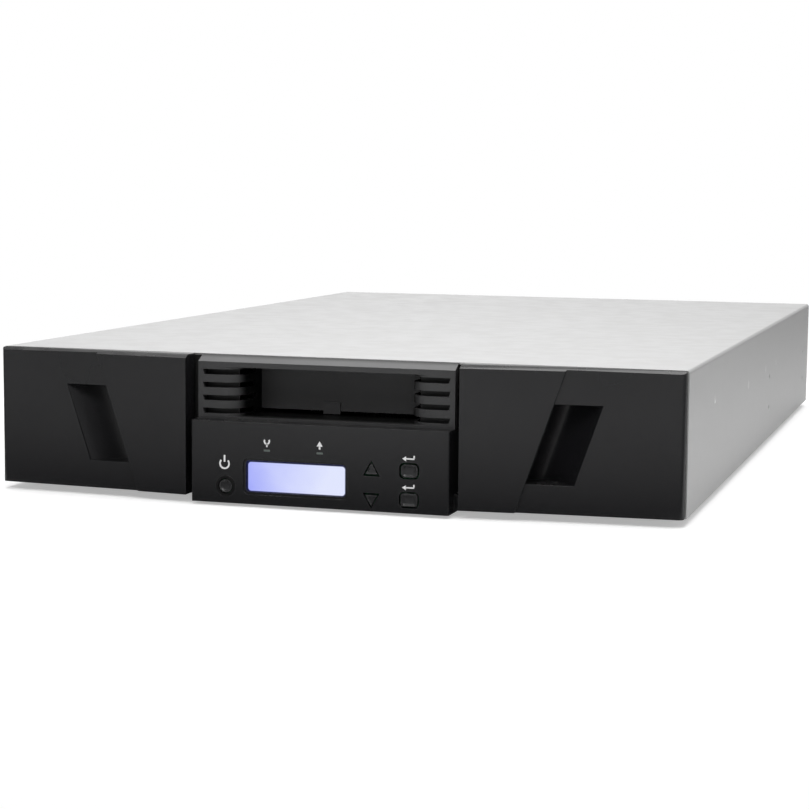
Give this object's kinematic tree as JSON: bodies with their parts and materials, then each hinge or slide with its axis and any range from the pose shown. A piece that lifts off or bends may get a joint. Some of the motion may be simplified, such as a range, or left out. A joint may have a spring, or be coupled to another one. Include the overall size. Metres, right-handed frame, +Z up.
{
  "type": "data tape library",
  "caption": "Rack-height data tape library with two pull-out cartridge magazines, a mail slot, a control panel with display and keys, a turning picker and a tape drive.",
  "frame": {"origin": "on the floor under the middle of the whole box, front panel included", "axes": "front faces -Y, +X to the right seen from the front, +Z up"},
  "size_m": [0.447, 0.711, 0.093],
  "materials": {
    "cover_steel": "satin coil-coated steel",
    "zinc_steel": "galvanised sheet",
    "black_steel": "black powder coat",
    "front_plastic": "satin charcoal moulding",
    "key_plastic": "satin key cap",
    "black_plastic": "glossy black",
    "door_plastic": "satin dark grey",
    "tray_plastic": "fine grain black",
    "pale_plastic": "natural acetal",
    "rubber": "matte",
    "display_window": "clear backlit window",
    "display": "backlit panel",
    "lamp": "light pipe",
    "board": "solder mask",
    "screw_steel": "nickel plated",
    "motor_steel": "plated motor can",
    "brass": "turned brass",
    "drive_metal": "cast and pressed case",
    "port_metal": "tin plated shell",
    "cartridge_plastic": "textured cartridge shell",
    "belt_rubber": "toothed belt"
  },
  "bodies": {
    "chassis": {"top_cover": "cover_steel", "base_pan": "zinc_steel", "front_frame": "black_steel", "rear_panel": "zinc_steel", "cover_screws": "screw_steel", "rubber_feet": "rubber", "bay_wall_left": "zinc_steel", "bay_wall_right": "zinc_steel", "magazine_runners": "pale_plastic", "mail_slot_frame": "front_plastic", "door_pin": "screw_steel", "control_panel": "front_plastic", "lcd_window": "display_window", "lcd_module": "display", "front_board": "board", "status_lamps": "lamp", "power_ring": "black_plastic", "robot_base": "zinc_steel", "turn_motor": "motor_steel", "magazine_motors": "motor_steel", "drive_sled": "zinc_steel", "tape_drive": "drive_metal", "drive_faceplate": "black_plastic", "sled_board": "board", "data_ports": "port_metal", "power_supply": "zinc_steel", "power_inlet": "black_plastic", "fan_frame": "black_plastic", "fan_guard": "screw_steel", "controller_board": "board", "board_posts": "brass", "network_port": "port_metal"},
    "left_magazine": {"bezel_left": "front_plastic", "tray_left": "tray_plastic", "cartridges_left": "cartridge_plastic", "belts_left": "belt_rubber"},
    "left_front_shaft": {"front_shaft_left": "pale_plastic"},
    "left_rear_shaft": {"rear_shaft_left": "pale_plastic"},
    "left_motor_gear": {"motor_gear_left": "brass"},
    "right_magazine": {"bezel_right": "front_plastic", "tray_right": "tray_plastic", "cartridges_right": "cartridge_plastic", "belts_right": "belt_rubber"},
    "right_front_shaft": {"front_shaft_right": "pale_plastic"},
    "right_rear_shaft": {"rear_shaft_right": "pale_plastic"},
    "right_motor_gear": {"motor_gear_right": "brass"},
    "turntable": {"turntable": "door_plastic"},
    "turn_pinion": {"turn_pinion": "brass"},
    "carriage": {"picker_carriage": "pale_plastic"},
    "mail_door": {"mail_door": "door_plastic"},
    "drive_door": {"drive_door": "door_plastic"},
    "fan_rotor": {"fan_rotor": "black_plastic"},
    "power_switch": {"power_switch": "black_plastic"},
    "power_button": {"power_button": "key_plastic"},
    "up_button": {"up_button": "key_plastic"},
    "down_button": {"down_button": "key_plastic"},
    "escape_button": {"escape_button": "key_plastic"},
    "enter_button": {"enter_button": "key_plastic"}
  },
  "joints": [
    {"name": "left_magazine_slide", "type": "slide", "parent": "chassis", "child": "left_magazine", "axis": [0, -1, 0], "range_m": [0, 0.45]},
    {"name": "left_rear_shaft_turn", "type": "hinge", "parent": "left_magazine", "child": "left_rear_shaft", "pos_m": [0, 0.1845, 0.0487], "axis": [1, 0, 0], "continuous": true},
    {"name": "left_front_shaft_turn", "type": "hinge", "parent": "left_magazine", "child": "left_front_shaft", "pos_m": [0, -0.2555, 0.0487], "axis": [1, 0, 0], "continuous": true},
    {"name": "left_motor_turn", "type": "hinge", "parent": "chassis", "child": "left_motor_gear", "pos_m": [0, 0.21575, 0.0487], "axis": [1, 0, 0], "continuous": true},
    {"name": "right_magazine_slide", "type": "slide", "parent": "chassis", "child": "right_magazine", "axis": [0, -1, 0], "range_m": [0, 0.45]},
    {"name": "right_rear_shaft_turn", "type": "hinge", "parent": "right_magazine", "child": "right_rear_shaft", "pos_m": [0, 0.1845, 0.0487], "axis": [1, 0, 0], "continuous": true},
    {"name": "right_front_shaft_turn", "type": "hinge", "parent": "right_magazine", "child": "right_front_shaft", "pos_m": [0, -0.2555, 0.0487], "axis": [1, 0, 0], "continuous": true},
    {"name": "right_motor_turn", "type": "hinge", "parent": "chassis", "child": "right_motor_gear", "pos_m": [0, 0.21575, 0.0487], "axis": [1, 0, 0], "continuous": true},
    {"name": "turntable_turn", "type": "hinge", "parent": "chassis", "child": "turntable", "pos_m": [0, -0.2005, 0.055], "axis": [0, 0, 1], "range_deg": [-90, 180]},
    {"name": "pinion_turn", "type": "hinge", "parent": "chassis", "child": "turn_pinion", "pos_m": [0, -0.133, 0.047], "axis": [0, 0, 1], "range_deg": [-725, 365]},
    {"name": "carriage_slide", "type": "slide", "parent": "turntable", "child": "carriage", "axis": [0, 1, 0], "range_m": [-0.034, 0.034]},
    {"name": "mail_door_swing", "type": "hinge", "parent": "chassis", "child": "mail_door", "pos_m": [0, -0.3085, 0.0834], "axis": [1, 0, 0], "range_deg": [0, 75], "stiffness_Nm_per_rad": 0.02, "springref_deg": -17.19},
    {"name": "drive_door_swing", "type": "hinge", "parent": "chassis", "child": "drive_door", "pos_m": [0, -0.1092, 0.0829], "axis": [1, 0, 0], "range_deg": [0, 70], "stiffness_Nm_per_rad": 0.01, "springref_deg": -17.19},
    {"name": "fan_turn", "type": "hinge", "parent": "chassis", "child": "fan_rotor", "pos_m": [-0.039, 0.3345, 0.049], "axis": [0, 1, 0], "continuous": true},
    {"name": "rocker_tilt", "type": "hinge", "parent": "chassis", "child": "power_switch", "pos_m": [-0.1464, 0.3463, 0.035], "axis": [1, 0, 0], "range_deg": [0, 18]},
    {"name": "power_press", "type": "slide", "parent": "chassis", "child": "power_button", "axis": [0, 1, 0], "range_m": [0, 0.001], "stiffness_N_per_m": 400, "springref_m": -0.001},
    {"name": "up_press", "type": "slide", "parent": "chassis", "child": "up_button", "axis": [0, 1, 0], "range_m": [0, 0.001], "stiffness_N_per_m": 400, "springref_m": -0.001},
    {"name": "down_press", "type": "slide", "parent": "chassis", "child": "down_button", "axis": [0, 1, 0], "range_m": [0, 0.001], "stiffness_N_per_m": 400, "springref_m": -0.001},
    {"name": "escape_press", "type": "slide", "parent": "chassis", "child": "escape_button", "axis": [0, 1, 0], "range_m": [0, 0.001], "stiffness_N_per_m": 400, "springref_m": -0.001},
    {"name": "enter_press", "type": "slide", "parent": "chassis", "child": "enter_button", "axis": [0, 1, 0], "range_m": [0, 0.001], "stiffness_N_per_m": 400, "springref_m": -0.001}
  ],
  "couplings": [
    {"joint": "left_front_shaft_turn", "follows": "left_rear_shaft_turn", "ratio": 1},
    {"joint": "left_motor_turn", "follows": "left_rear_shaft_turn", "ratio": -1.7778},
    {"joint": "right_front_shaft_turn", "follows": "right_rear_shaft_turn", "ratio": 1},
    {"joint": "right_motor_turn", "follows": "right_rear_shaft_turn", "ratio": -1.7778},
    {"joint": "pinion_turn", "follows": "turntable_turn", "ratio": -4}
  ]
}
